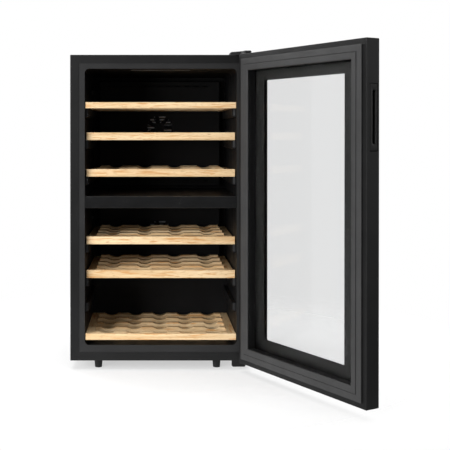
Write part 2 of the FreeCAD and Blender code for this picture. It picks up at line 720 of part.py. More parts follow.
def top_hinge_cover():
    """A low moulded cap over the upper bracket and its screws, slanted across the front."""
    x0 = BRACKET_LEFT - 3
    x1 = BRACKET_RIGHT + CAP_WALL + 0.4
    y0 = PIVOT.y - KNUCKLE_RADIUS - CAP_WALL - 0.4
    y1 = FRONT + BRACKET_REACH + CAP_WALL + 0.6
    neck = PIVOT.x - KNUCKLE_RADIUS - 10
    z0 = CABINET_HEIGHT
    outline = [
        V(x0, FRONT + BRACKET_CHAMFER - 2, z0),
        V(neck, FRONT - 14, z0),
        V(neck + 8, y0, z0),
        V(x1, y0, z0),
        V(x1, y1, z0),
        V(x0, y1, z0),
    ]
    face = Part.Face(Part.makePolygon(outline + [outline[0]]))
    body = face.extrude(V(0, 0, CAP_HEIGHT))
    body = body.makeFillet(5, edges_along(body, V(0, 0, 1)))
    roof = [edge for edge in body.Edges if edge.CenterOfMass.z > z0 + CAP_HEIGHT - 0.1]
    body = body.makeFillet(3.5, roof)
    hollow = face.makeOffset2D(-CAP_WALL).extrude(V(0, 0, CAP_HEIGHT - CAP_WALL - 0.6))
    return cut(body, [hollow])


def hinge_screws():
    """Pan-head screws: three through each bracket into its backing plate."""
    screws = []
    roof = CABINET_HEIGHT + BRACKET_THICKNESS
    floor = -BRACKET_THICKNESS
    for x, y in screw_places():
        for seat, direction in ((roof, 1), (floor, -1)):
            head = Part.makeCylinder(SCREW_HEAD_RADIUS, SCREW_HEAD, V(x, y, seat), V(0, 0, direction))
            crown = [
                edge for edge in head.Edges
                if (edge.CenterOfMass.z - seat) * direction > SCREW_HEAD - 0.1
            ]
            head = head.makeFillet(0.8, crown)
            shank = Part.makeCylinder(SCREW_RADIUS, 9, V(x, y, seat), V(0, 0, -direction))
            screws.append(fuse([head, shank]))
    return Part.makeCompound(screws)


# ---- Shelves ----
def shelf_front(low, high, half, front):
    """The wooden face strip of a shelf."""
    strip = box(-half, half, front, front + SHELF_FRONT_THICKNESS, low, high)
    return softened(strip, 1.0)


def shelf_lattice(low, high, half, front, back, bottles):
    """Side runners and cradled slats behind the face strip."""
    start = front + SHELF_FRONT_THICKNESS
    inner = half - RUNNER_WIDTH
    pieces = []
    for side in (-1, 1):
        x0 = min(side * half, side * inner)
        runner = box(x0, x0 + RUNNER_WIDTH, start, back, low, low + RUNNER_HEIGHT)
        pieces.append(runner)
    top = high - 1
    bottom = low + 1
    pitch = 2 * inner / bottles
    spread = (back - start - SLAT_WIDTH - 16) / (SLAT_COUNT - 1)
    for index in range(SLAT_COUNT):
        y0 = start + 8 + index * spread
        slat = box(-inner, inner, y0, y0 + SLAT_WIDTH, bottom, top)
        cradles = []
        for place in range(bottles):
            x = -inner + (place + 0.5) * pitch
            z = top - CRADLE_DEPTH + BOTTLE_RADIUS
            cradles.append(rod(BOTTLE_RADIUS, V(x, y0 - 1, z), V(x, y0 + SLAT_WIDTH + 1, z)))
        pieces.append(cut(slat, cradles))
    return Part.makeCompound(pieces)


# ---- Door, drawn shut ----
def opened(shape):
    """A piece of the shut door, turned to where the open door stands."""
    turned = shape.copy()
    turned.rotate(PIVOT, V(0, 0, 1), DOOR_OPEN)
    return turned


def door_ring(inset, border, y0, y1, radius):
    """A rectangular ring parallel to the door, set in from its edges."""
    outer = upright_panel(-HALF + inset, HALF - inset, DOOR_BOTTOM + inset, DOOR_TOP - inset,
                          y0, y1, radius)
    far = inset + border
    hole = box(-HALF + far, HALF - far, y0 - 1, y1 + 1, DOOR_BOTTOM + far, DOOR_TOP - far)
    return cut(outer, [hole])


def door_frame():
    """The moulded frame that carries the glass, the gasket and the grip."""
    ring = upright_panel(-HALF, HALF, DOOR_BOTTOM, DOOR_TOP, DOOR_FACE, DOOR_BACK, 2.5)
    rims = [
        edge for edge in ring.Edges
        if abs(edge.CenterOfMass.y - DOOR_FACE) < 0.01 or abs(edge.CenterOfMass.y - DOOR_BACK) < 0.01
    ]
    ring = ring.makeFillet(1.2, rims)
    window = box(-HALF + DOOR_BORDER, HALF - DOOR_BORDER, DOOR_FACE - 1, DOOR_BACK + 1,
                 DOOR_BOTTOM + DOOR_BORDER, DOOR_TOP - DOOR_BORDER)
    pane_seat = box(-HALF + DOOR_RIM, HALF - DOOR_RIM, DOOR_FACE - 1, DOOR_FACE + PANE,
                    DOOR_BOTTOM + DOOR_RIM, DOOR_TOP - DOOR_RIM)
    lap = DOOR_BORDER - UNIT_LAP
    unit_seat = box(-HALF + lap, HALF - lap, DOOR_FACE - 1, DOOR_FACE + GLASS_UNIT,
                    DOOR_BOTTOM + lap, DOOR_TOP - lap)
    grip = box(-HALF - 1, -HALF + HANDLE_DEPTH, DOOR_BACK - HANDLE_FAR, DOOR_BACK - HANDLE_NEAR,
               HANDLE_BOTTOM, HANDLE_TOP)
    sockets = [
        rod(BUSH_RADIUS, V(PIVOT.x, PIVOT.y, DOOR_BOTTOM - 1), V(PIVOT.x, PIVOT.y, DOOR_BOTTOM + BUSH_LENGTH)),
        rod(BUSH_RADIUS, V(PIVOT.x, PIVOT.y, DOOR_TOP - BUSH_LENGTH), V(PIVOT.x, PIVOT.y, DOOR_TOP + 1)),
    ]
    return cut(ring, [window, pane_seat, unit_seat, grip] + sockets)


def outer_pane():
    """The full-size front pane."""
    pane = upright_panel(-HALF + DOOR_RIM, HALF - DOOR_RIM, DOOR_BOTTOM + DOOR_RIM, DOOR_TOP - DOOR_RIM,
                         DOOR_FACE, DOOR_FACE + PANE, 0.8)
    face = [edge for edge in pane.Edges if abs(edge.CenterOfMass.y - DOOR_FACE) < 0.01]
    return pane.makeFillet(0.4, face)


def inner_pane():
    lap = DOOR_BORDER - UNIT_LAP
    return box(-HALF + lap, HALF - lap, DOOR_FACE + GLASS_UNIT - PANE, DOOR_FACE + GLASS_UNIT,
               DOOR_BOTTOM + lap, DOOR_TOP - lap)


def pane_spacer():
    """The metal spacer sealed between the panes."""
    lap = DOOR_BORDER - UNIT_LAP
    return door_ring(lap, SPACER_WIDTH, DOOR_FACE + PANE + PRINT, DOOR_FACE + GLASS_UNIT - PANE - PRINT, 0.5)


def pane_borders():
    """The opaque print around the clear window, one layer on each pane."""
    lap = DOOR_BORDER - UNIT_LAP
    layers = []
    for y0 in (DOOR_FACE + PANE, DOOR_FACE + GLASS_UNIT - PANE - PRINT):
        sheet = box(-HALF + lap, HALF - lap, y0, y0 + PRINT, DOOR_BOTTOM + lap, DOOR_TOP - lap)
        window = upright_panel(-HALF + WINDOW_FREE_INSET, HALF - WINDOW_HINGE_INSET,
                               WINDOW_BOTTOM, WINDOW_TOP, y0 - 1, y0 + 1, 2)
        layers.append(cut(sheet, [window]))
    return Part.makeCompound(layers)


def door_gasket():
    """The magnetic seal: an outer lip, a groove and a wide inner bulb."""
    lip = door_ring(GASKET_INSET, 6, DOOR_BACK, DOOR_BACK + GASKET_HEIGHT - 1.5, 3)
    web = door_ring(GASKET_INSET + 5, 6, DOOR_BACK, DOOR_BACK + 2, 2)
    bulb = door_ring(GASKET_INSET + 10, DOOR_BORDER - GASKET_INSET - 10,
                     DOOR_BACK, DOOR_BACK + GASKET_HEIGHT, 2)
    return fuse([lip, web, bulb])


def handle_insert():
    """The grip moulding let into the free edge, with a finger slot."""
    body = box(-HALF, -HALF + HANDLE_DEPTH, DOOR_BACK - HANDLE_FAR, DOOR_BACK - HANDLE_NEAR,
               HANDLE_BOTTOM, HANDLE_TOP)
    slot = box(-HALF - 1, -HALF + HANDLE_DEPTH - 2, DOOR_BACK - SLOT_FAR, DOOR_BACK - SLOT_NEAR,
               HANDLE_BOTTOM + SLOT_MARGIN, HANDLE_TOP - SLOT_MARGIN)
    slot = slot.makeFillet(3, edges_along(slot, V(1, 0, 0)))
    return cut(body, [slot])


def door_bushings():
    """Plastic sleeves pressed into the frame, in which the hinge pins turn."""
    sleeves = []
    for z0 in (DOOR_BOTTOM, DOOR_TOP - BUSH_LENGTH):
        sleeve = rod(BUSH_RADIUS, V(PIVOT.x, PIVOT.y, z0), V(PIVOT.x, PIVOT.y, z0 + BUSH_LENGTH))
        bore = rod(PIN_RADIUS + RUNNING_GAP, V(PIVOT.x, PIVOT.y, z0 - 1), V(PIVOT.x, PIVOT.y, z0 + BUSH_LENGTH + 1))
        sleeves.append(cut(sleeve, [bore]))
    return Part.makeCompound(sleeves)


# ---- Write every piece ----
export("cabinet_wrap", cabinet_wrap())
export("base_pan", base_pan())
export("back_panel", back_panel())
export("bay_partition", bay_partition())
export("inner_liner", inner_liner())
export("foam_insulation", foam_insulation())
export("wall_spacers", wall_spacers())
export("zone_divider", zone_divider())
export("control_panel", control_panel())
export("control_board", control_board())
export("light_strips", light_strips())
export("temperature_sensors", temperature_sensors())
export("upper_duct_cover", duct_cover(DIVIDER_TOP + 6, CAVITY_CEILING - 11, UPPER_FAN_HEIGHT))
export("lower_duct_cover", duct_cover(HUMP_TOP + 6, DIVIDER_BOTTOM - 6, LOWER_FAN_HEIGHT))
export("upper_evaporator", evaporator(DIVIDER_TOP + 40, CAVITY_CEILING - 40))
export("lower_evaporator", evaporator(HUMP_TOP + 20, DIVIDER_BOTTOM - 20))
export("upper_fan_frame", fan_frame(FAN_HALF, UPPER_FAN_HEIGHT))
export("lower_fan_frame", fan_frame(FAN_HALF, LOWER_FAN_HEIGHT))
export("upper_fan_rotor", fan_rotor(UPPER_FAN_HEIGHT))
export("lower_fan_rotor", fan_rotor(LOWER_FAN_HEIGHT))
export("condenser_fan_frame", to_bay(fan_frame(FAN_HALF, UPPER_FAN_HEIGHT), UPPER_FAN_HEIGHT))
export("condenser_fan_rotor", to_bay(fan_rotor(UPPER_FAN_HEIGHT), UPPER_FAN_HEIGHT))
export("compressor", compressor())
export("compressor_grommets", compressor_grommets())
export("condenser_coil", condenser_coil())
export("refrigerant_line", refrigerant_line())
export("drip_tray", drip_tray())
export("power_board", power_board())
export("mains_inlet", mains_inlet())
export("bay_cover", bay_cover())
for name, (x, y) in FEET.items():
    export(name, foot(x, y))
export("foot_nuts", foot_nuts())
export("top_hinge_bracket", top_hinge_bracket())
export("top_hinge_cover", top_hinge_cover())
export("bottom_hinge_bracket", bottom_hinge_bracket())
export("hinge_screws", hinge_screws())
export("hinge_backing_plates", Part.makeCompound(backing_plates()))
for name, (low, high) in SLIDING_SHELVES.items():
    export(name + "_front", shelf_front(low, high, SLIDING_HALF, SLIDING_FRONT))
    export(name + "_lattice", shelf_lattice(low, high, SLIDING_HALF, SLIDING_FRONT, SHELF_BACK, 4))
export("shelf_1_front", shelf_front(*TOP_RACK, FIXED_HALF, FIXED_FRONT))
export("shelf_1_lattice", shelf_lattice(*TOP_RACK, FIXED_HALF, FIXED_FRONT, SHELF_BACK, 5))
export("shelf_6_front", shelf_front(*BOTTOM_RACK, FIXED_HALF, FIXED_FRONT))
export("shelf_6_lattice", shelf_lattice(*BOTTOM_RACK, FIXED_HALF, FIXED_FRONT, HUMP_FRONT - 8, 5))
export("door_frame", opened(door_frame()))
export("outer_pane", opened(outer_pane()))
export("inner_pane", opened(inner_pane()))
export("pane_spacer", opened(pane_spacer()))
export("pane_borders", opened(pane_borders()))
export("door_gasket", opened(door_gasket()))
export("handle_insert", opened(handle_insert()))
export("door_bushings", opened(door_bushings()))
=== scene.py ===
import json
import math
import random

import bmesh
import bpy
from mathutils import Matrix, Vector


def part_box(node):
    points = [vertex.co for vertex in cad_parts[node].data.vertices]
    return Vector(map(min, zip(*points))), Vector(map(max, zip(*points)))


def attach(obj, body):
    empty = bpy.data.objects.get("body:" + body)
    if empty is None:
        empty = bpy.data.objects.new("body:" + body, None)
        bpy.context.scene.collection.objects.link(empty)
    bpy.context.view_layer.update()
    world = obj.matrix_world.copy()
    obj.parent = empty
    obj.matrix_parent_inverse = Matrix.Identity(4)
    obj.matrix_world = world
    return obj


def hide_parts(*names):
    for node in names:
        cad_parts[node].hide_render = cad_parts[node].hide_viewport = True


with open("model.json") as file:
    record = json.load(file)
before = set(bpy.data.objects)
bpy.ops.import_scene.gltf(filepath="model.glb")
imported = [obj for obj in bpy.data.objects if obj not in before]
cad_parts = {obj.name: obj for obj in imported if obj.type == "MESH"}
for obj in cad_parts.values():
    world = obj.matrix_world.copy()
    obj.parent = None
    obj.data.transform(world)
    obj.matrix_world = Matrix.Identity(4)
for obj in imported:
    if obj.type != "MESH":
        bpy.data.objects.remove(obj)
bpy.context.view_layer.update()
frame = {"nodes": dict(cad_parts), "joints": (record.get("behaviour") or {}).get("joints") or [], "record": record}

MM = 0.001
WHITE = (1.0, 1.0, 1.0, 1.0)

# Painted shade: the liner's colour darkens from the rim's grey to near black between these depths behind the
# cabinet's front, for the shade inside the cavity.
SHADE_FADE_START = 3 * MM
SHADE_FADE_END = 11 * MM
# Beyond this far from the middle, a lattice is a side runner with its grain front to back.
RUNNER_START = 177 * MM
# The rounding of a lattice's edges, and the gap that keeps glass off what it lies on.
LATTICE_ROUNDING = 1.0 * MM
HAIR_GAP = 0.04 * MM
SHELVES = 6

# ---- Where things are, read from the frame ----
cabinet_low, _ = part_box("cabinet_wrap")
FRONT = cabinet_low.y
UNDERSIDE = cabinet_low.z
HINGE = next(joint for joint in frame["joints"] if joint["name"] == "door_hinge")
PIVOT = Vector(HINGE["pos_m"])
OPEN_ANGLE = math.radians(-HINGE["range_deg"][0])


def door_matrix():
    """Takes a point of the shut door to where it stands open."""
    there = Matrix.Translation(PIVOT)
    return there @ Matrix.Rotation(OPEN_ANGLE, 4, "Z") @ there.inverted()


def shut_box(node):
    """Lowest and highest corner of a door node, with the door turned shut."""
    back = door_matrix().inverted()
    places = [back @ v.co for v in frame["nodes"][node].data.vertices]
    low = Vector(min(p[i] for p in places) for i in range(3))
    high = Vector(max(p[i] for p in places) for i in range(3))
    return low, high


# ---- Materials ----
class Surface:
    """A Principled material made from noises in the frame's own coordinates."""

    def __init__(self, name, roughness=0.5, metallic=0.0, color=(0.5, 0.5, 0.5)):
        self.material = bpy.data.materials.new(name)
        self.material.use_nodes = True
        tree = self.material.node_tree
        self.nodes = tree.nodes
        self.links = tree.links
        self.shader = self.nodes["Principled BSDF"]
        self.coordinates = self.nodes.new("ShaderNodeTexCoord").outputs["Object"]
        self.height = None
        self.set("Roughness", roughness)
        self.set("Metallic", metallic)
        self.set("Base Color", (*color, 1.0))

    def set(self, socket, value):
        """Gives a socket of the shader a value that is the same all over."""
        self.shader.inputs[socket].default_value = value

    def plug(self, socket, output):
        """Feeds a socket of the shader from another node."""
        self.links.new(output, self.shader.inputs[socket])

    def stretched(self, scale, turn=(0.0, 0.0, 0.0)):
        """Coordinates scaled by axis, so a noise can run along a direction."""
        mapping = self.nodes.new("ShaderNodeMapping")
        mapping.inputs["Scale"].default_value = scale
        mapping.inputs["Rotation"].default_value = turn
        self.links.new(self.coordinates, mapping.inputs["Vector"])
        return mapping.outputs["Vector"]

    def noise(self, scale, detail=3.0, rough=0.5, where=None, warp=0.0):
        """A cloudy factor from 0 to 1, mostly near the middle."""
        texture = self.nodes.new("ShaderNodeTexNoise")
        texture.inputs["Scale"].default_value = scale
        texture.inputs["Detail"].default_value = detail
        texture.inputs["Roughness"].default_value = rough
        texture.inputs["Distortion"].default_value = warp
        self.links.new(where or self.coordinates, texture.inputs["Vector"])
        return texture.outputs["Fac"]

    def cells(self, scale, where=None):
        """Patches that each have one random colour."""
        texture = self.nodes.new("ShaderNodeTexVoronoi")
        texture.inputs["Scale"].default_value = scale
        self.links.new(where or self.coordinates, texture.inputs["Vector"])
        return texture.outputs["Color"]

    def ramp(self, factor, stops):
        """A colour for each level of a factor; stops are (level, colour)."""
        node = self.nodes.new("ShaderNodeValToRGB")
        elements = node.color_ramp.elements
        while len(elements) < len(stops):
            elements.new(0.5)
        for element, (level, color) in zip(elements, stops):
            element.position = level
            element.color = (*color, 1.0)
        self.links.new(factor, node.inputs["Fac"])
        return node.outputs["Color"]

    def tone(self, factor, dark, light):
        """A factor's middle range as a tone between two colours."""
        return self.ramp(factor, [(0.3, dark), (0.7, light)])

    def levels(self, factor, low, high, start=0.3, end=0.7):
        """A factor's middle range spread between two values."""
        node = self.nodes.new("ShaderNodeMapRange")
        node.inputs["From Min"].default_value = start
        node.inputs["From Max"].default_value = end
        node.inputs["To Min"].default_value = low
        node.inputs["To Max"].default_value = high
        self.links.new(factor, node.inputs["Value"])
        return node.outputs["Result"]

    def along(self, axis):
        """One coordinate of the frame, in metres."""
        split = self.nodes.new("ShaderNodeSeparateXYZ")
        self.links.new(self.coordinates, split.inputs["Vector"])
        return split.outputs[axis]

    def maths(self, operation, a, b=None):
        """One sum on numbers or outputs."""
        node = self.nodes.new("ShaderNodeMath")
        node.operation = operation
        for socket, value in zip(node.inputs, (a, b)):
            if value is None:
                continue
            if isinstance(value, (int, float)):
                socket.default_value = value
            else:
                self.links.new(value, socket)
        return node.outputs["Value"]

    def mixed(self, factor, a, b, blend="MIX"):
        """Colour a where the factor is 0 and b where it is 1."""
        node = self.nodes.new("ShaderNodeMix")
        node.data_type = "RGBA"
        node.blend_type = blend
        for name, value in (("Factor_Float", factor), ("A_Color", a), ("B_Color", b)):
            socket = next(s for s in node.inputs if s.identifier == name)
            if isinstance(value, (int, float)):
                socket.default_value = value
            elif isinstance(value, tuple):
                socket.default_value = (*value, 1.0)
            else:
                self.links.new(value, socket)
        return next(s for s in node.outputs if s.identifier == "Result_Color")

    def bump(self, height, distance, strength=1.0):
        """Adds one layer of relief, in metres, over the layers before it."""
        node = self.nodes.new("ShaderNodeBump")
        node.inputs["Distance"].default_value = distance
        node.inputs["Strength"].default_value = strength
        self.links.new(height, node.inputs["Height"])
        if self.height is not None:
            self.links.new(self.height, node.inputs["Normal"])
        self.height = node.outputs["Normal"]
        self.plug("Normal", self.height)

    def edges(self, radius, sharpness=3.0):
        """1 near a sharp edge, 0 on the flats, from the rounded normal."""
        soft = self.nodes.new("ShaderNodeBevel")
        soft.samples = 4
        soft.inputs["Radius"].default_value = radius
        true = self.nodes.new("ShaderNodeNewGeometry")
        dot = self.nodes.new("ShaderNodeVectorMath")
        dot.operation = "DOT_PRODUCT"
        self.links.new(soft.outputs["Normal"], dot.inputs[0])
        self.links.new(true.outputs["Normal"], dot.inputs[1])
        bent = self.maths("SUBTRACT", 1.0, dot.outputs["Value"])
        return self.maths("MINIMUM", self.maths("MULTIPLY", bent, sharpness), 1.0)


def textured_black(name, dark, light, roughness, grain, depth, edge_highlight_color):
    """Black paint or moulded plastic: fine grain, uneven sheen and a painted highlight in patches along the sharp
    edges.
    """
    s = Surface(name, roughness)
    s.set("Specular IOR Level", 0.18)
    tone = s.tone(s.noise(14, 4), dark, light)
    speckle = s.noise(grain, 2, 0.6)
    tone = s.mixed(s.levels(speckle, 0.0, 0.35), tone, light)
    # Painted highlight: sharp edges turn lighter in patches, where edges would catch the light.
    edge_highlight_mask = s.maths("MULTIPLY", s.edges(1.2 * MM), s.levels(s.noise(45, 4), 0.1, 0.75))
    s.plug("Base Color", s.mixed(edge_highlight_mask, tone, edge_highlight_color))
    smudge = s.levels(s.noise(9, 5, 0.6), roughness - 0.07, roughness + 0.08)
    s.plug("Roughness", smudge)
    s.bump(speckle, depth, 0.6)
    s.bump(s.noise(grain / 6, 2), depth * 2, 0.25)
    return s.material


def powder_coat():
    """The painted steel of the cabinet, its base pan and the lower hinge bracket."""
    # The last colour is the painted highlight along the sharp edges.
    return textured_black("powder_coat", (0.0070, 0.0070, 0.0072), (0.0098, 0.0098, 0.0100),
                          0.44, 1100, 0.06 * MM, (0.034, 0.034, 0.035))


def moulded_door():
    """The moulding of the door's frame and grip."""
    # The last colour is the painted highlight along the sharp edges.
    return textured_black("door_moulding", (0.0072, 0.0072, 0.0074), (0.0102, 0.0102, 0.0104),
                          0.46, 1600, 0.04 * MM, (0.032, 0.032, 0.033))


def black_plastic():
    """The plastic of the fans, feet, bay cover, hinge cap and small fittings."""
    # The last colour is the painted highlight along the sharp edges.
    return textured_black("black_plastic", (0.0075, 0.0075, 0.0078), (0.0115, 0.0115, 0.012),
                          0.5, 1500, 0.05 * MM, (0.03, 0.03, 0.031))


def liner():
    """Moulded lining: a satin grey-black rim, with painted shade taking it to near black deeper inside."""
    s = Surface("liner_plastic", 0.5)
    grain = s.noise(1500, 2)
    rim = s.tone(s.noise(12, 3), (0.0165, 0.0165, 0.0168), (0.0205, 0.0205, 0.0208))
    # Painted shade: the near-black tone that stands for the shade deep in the cavity.
    shaded_deep = s.tone(s.noise(12, 3), (0.004, 0.004, 0.0045), (0.0065, 0.0065, 0.007))
    s.set("Specular IOR Level", 0.2)
    # Painted shade: the mask that darkens the liner with depth behind the front.
    depth_shade_mask = s.levels(s.along("Y"), 0.0, 1.0, FRONT + SHADE_FADE_START, FRONT + SHADE_FADE_END)
    s.plug("Base Color", s.mixed(depth_shade_mask, rim, shaded_deep))
    s.plug("Roughness", s.levels(s.noise(20, 4), 0.42, 0.58))
    s.bump(grain, 0.05 * MM, 0.5)
    return s.material


def gloss_panel():
    """The control panel's smooth black, with faint smears."""
    s = Surface("panel_gloss", 0.2)
    s.plug("Base Color", s.tone(s.noise(30, 3), (0.0065, 0.0065, 0.0067), (0.0090, 0.0090, 0.0093)))
    smears = s.noise(26, 5, 0.65, where=s.stretched((1.0, 1.0, 3.0), (0.0, 0.5, 0.0)))
    s.plug("Roughness", s.levels(smears, 0.14, 0.3))
    s.set("Specular IOR Level", 0.3)
    s.set("Coat Weight", 0.25)
    s.set("Coat Roughness", 0.1)
    s.bump(s.noise(60, 2), 0.05 * MM, 0.15)
    return s.material


def beech(name, runners):
    """Oiled beech: long soft bands, short dark flecks and fine pores along the grain."""
    s = Surface(name, 0.5)

    def grain(swap):
        """Colour, flecks and pores, with the grain along x, or along y where swapped."""

        def order(a, b, c):
            return (b, a, c) if swap else (a, b, c)

        bands = s.noise(1.0, 4, 0.55, where=s.stretched(order(3.0, 34.0, 78.0)), warp=0.35)
        base = s.ramp(bands, [
            (0.26, (0.54, 0.350, 0.178)),
            (0.40, (0.73, 0.522, 0.288)),
            (0.54, (0.84, 0.632, 0.377)),
            (0.72, (0.91, 0.725, 0.470)),
        ])
        flecks = s.noise(1.0, 2, 0.5, where=s.stretched(order(60.0, 700.0, 900.0)))
        base = s.mixed(s.levels(flecks, 0.0, 0.7, 0.57, 0.68), base, (0.42, 0.23, 0.10))
        lines = s.noise(1.0, 2, 0.5, where=s.stretched(order(7.0, 300.0, 520.0)), warp=0.2)
        base = s.mixed(s.levels(lines, 0.0, 0.36, 0.46, 0.64), base, (0.62, 0.38, 0.175))
        streaks = s.noise(1.0, 2, 0.45, where=s.stretched(order(17.0, 150.0, 230.0)), warp=0.4)
        base = s.mixed(s.levels(streaks, 0.0, 0.85, 0.57, 0.66), base, (0.62, 0.31, 0.105))
        pores = s.noise(1.0, 2, 0.6, where=s.stretched(order(140.0, 1600.0, 2400.0)))
        return base, flecks, pores

    color, flecks, pores = grain(False)
    if runners:
        other, _, _ = grain(True)
        reach = s.maths("ABSOLUTE", s.along("X"))
        color = s.mixed(s.maths("GREATER_THAN", reach, RUNNER_START), color, other)
    patch = s.ramp(s.noise(5, 2), [(0.35, (0.93, 0.90, 0.86)), (0.65, (1.0, 1.0, 1.0))])
    color = s.mixed(1.0, color, patch, "MULTIPLY")
    s.plug("Base Color", color)
    s.plug("Roughness", s.levels(pores, 0.42, 0.6))
    s.bump(pores, 0.05 * MM, 0.5)
    s.bump(flecks, 0.06 * MM, 0.25)
    s.set("Specular IOR Level", 0.35)
    return s.material


def gasket_rubber():
    """Soft dark vinyl, a little lighter than the door."""
    s = Surface("gasket_vinyl", 0.6)
    s.set("Specular IOR Level", 0.25)
    s.plug("Base Color", s.tone(s.noise(18, 4), (0.038, 0.038, 0.0384), (0.046, 0.046, 0.0465)))
    s.plug("Roughness", s.levels(s.noise(40, 4), 0.5, 0.66))
    s.bump(s.noise(1300, 2), 0.04 * MM, 0.5)
    s.bump(s.noise(70, 2), 0.25 * MM, 0.25)
    return s.material


def glass(name, tint, ior):
    """Clear or smoked glass; a low index keeps its reflections faint."""
    s = Surface(name, 0.0, color=tint)
    s.set("Transmission Weight", 1.0)
    s.set("IOR", ior)
    return s.material


def border_print():
    """The black print behind the borders of the panes."""
    s = Surface("border_print", 0.45)
    s.set("Specular IOR Level", 0.2)
    s.plug("Base Color", s.tone(s.noise(60, 3), (0.0072, 0.0072, 0.0072), (0.0098, 0.0098, 0.0098)))
    s.plug("Roughness", s.levels(s.noise(300, 3), 0.4, 0.5))
    s.bump(s.noise(900, 2), 0.01 * MM, 0.4)
    return s.material


def galvanised():
    """Zinc-coated sheet with its spangle."""
    s = Surface("galvanised_steel", 0.42, 1.0)
    spangle = s.cells(95)
    s.plug("Base Color", s.ramp(spangle, [
        (0.0, (0.36, 0.37, 0.38)),
        (0.5, (0.46, 0.47, 0.48)),
        (1.0, (0.56, 0.57, 0.58)),
    ]))
    s.plug("Roughness", s.levels(spangle, 0.34, 0.52, 0.0, 1.0))
    s.bump(s.noise(700, 3), 0.03 * MM, 0.4)
    return s.material


def bare_metal(name, dark, light, roughness, brushing):
    """Drawn or rolled metal with fine lines along one direction."""
    s = Surface(name, roughness, 1.0)
    lines = s.noise(1.0, 3, 0.6, where=s.stretched(brushing))
    s.plug("Base Color", s.tone(lines, dark, light))
    s.plug("Roughness", s.levels(lines, roughness - 0.08, roughness + 0.08))
    s.bump(lines, 0.02 * MM, 0.5)
    return s.material


def gloss_paint():
    """The compressor's thick gloss paint."""
    s = Surface("compressor_paint", 0.22)
    s.plug("Base Color", s.tone(s.noise(40, 4), (0.014, 0.014, 0.014), (0.02, 0.02, 0.02)))
    s.plug("Roughness", s.levels(s.noise(60, 4), 0.16, 0.32))
    s.bump(s.noise(260, 2), 0.08 * MM, 0.35)
    return s.material


def rubber():
    """Matt rubber of the compressor's mounts."""
    s = Surface("rubber", 0.75)
    s.plug("Base Color", s.tone(s.noise(90, 4), (0.018, 0.018, 0.018), (0.03, 0.03, 0.03)))
    s.plug("Roughness", s.levels(s.noise(200, 3), 0.68, 0.82))
    s.bump(s.noise(1200, 3), 0.06 * MM, 0.6)
    return s.material


def foam():
    """Yellowish insulation foam with open bubbles."""
    s = Surface("foam", 0.9)
    bubbles = s.noise(500, 4, 0.6)
    s.plug("Base Color", s.tone(bubbles, (0.70, 0.62, 0.40), (0.86, 0.80, 0.60)))
    s.bump(bubbles, 0.4 * MM, 0.6)
    return s.material


def circuit():
    """A green board with lighter and darker patches of track."""
    s = Surface("circuit_board", 0.4)
    tracks = s.cells(420, where=s.stretched((1.0, 1.0, 2.5)))
    s.plug("Base Color", s.ramp(tracks, [(0.0, (0.012, 0.10, 0.035)), (1.0, (0.03, 0.19, 0.07))]))
    s.bump(tracks, 0.05 * MM, 0.4)
    return s.material


def lamp_lens():
    """Milky lens with fine ribs across it."""
    s = Surface("lamp_lens", 0.3, color=(0.82, 0.83, 0.85))
    s.set("Transmission Weight", 0.25)
    ribs = s.noise(1.0, 0, 0.5, where=s.stretched((1400.0, 20.0, 20.0)))
    s.plug("Roughness", s.levels(ribs, 0.25, 0.4))
    s.bump(ribs, 0.15 * MM, 0.6)
    return s.material


def make_finishes():
    """One material for each slot of the record."""
    return {
        "black_painted_steel": powder_coat(),
        "galvanised_steel": galvanised(),
        "steel": bare_metal(
            "steel", (0.30, 0.30, 0.31), (0.44, 0.44, 0.45), 0.34, (60, 900, 900)),
        "liner_plastic": liner(),
        "foam": foam(),
        "black_plastic": black_plastic(),
        "panel_gloss": gloss_panel(),
        "circuit_board": circuit(),
        "light_lens": lamp_lens(),
        "aluminium": bare_metal(
            "aluminium", (0.66, 0.67, 0.68), (0.80, 0.81, 0.82), 0.32, (900, 900, 60)),
        "copper": bare_metal(
            "copper", (0.58, 0.27, 0.14), (0.78, 0.42, 0.25), 0.28, (400, 400, 60)),
        "compressor_black": gloss_paint(),
        "rubber": rubber(),
        "beech": beech("beech_front", False),
        "door_black": moulded_door(),
        "gasket": gasket_rubber(),
        "tinted_glass": glass("tinted_glass", (0.80, 0.80, 0.803), 1.2),
        "clear_glass": glass("clear_glass", (0.95, 0.955, 0.953), 1.06),
        "border_print": border_print(),
    }


def paint(piece, material):
    """Gives a new piece its one material."""
    piece.data.materials.clear()
    piece.data.materials.append(material)


def finish_nodes(finishes):
    """Gives every CAD node the material of its slot."""
    lattice_wood = beech("beech_lattice", True)
    for part in frame["record"]["subparts"]:
        piece = frame["nodes"][part["node"]]
        material = finishes[part["material_slot"]]
        if part["node"].endswith("_lattice"):
            material = lattice_wood
        if not piece.material_slots:
            piece.data.materials.append(material)
        for slot in piece.material_slots:
            slot.material = material


# ---- New pieces ----
def add_mesh(name, points, faces):
    """A smooth-shaded piece from points and faces."""
    mesh = bpy.data.meshes.new(name)
    mesh.from_pydata([tuple(p) for p in points], [], faces)
    mesh.update()
    piece = bpy.data.objects.new(name, mesh)
    bpy.context.scene.collection.objects.link(piece)
    for polygon in mesh.polygons:
        polygon.use_smooth = True
    return piece


def flowing(points, steps):
    """A smooth curve through the given flat points."""
    line = []
    for index in range(len(points) - 1):
        p0 = points[max(index - 1, 0)]
        p1 = points[index]
        p2 = points[index + 1]
        p3 = points[min(index + 2, len(points) - 1)]
        for step in range(steps):
            t = step / steps
            line.append(tuple(
                0.5 * (2 * b + (c - a) * t + (2 * a - 5 * b + 4 * c - d) * t ** 2
                       + (3 * b - a - 3 * c + d) * t ** 3)
                for a, b, c, d in zip(p0, p1, p2, p3)
            ))
    line.append(points[-1])
    return line


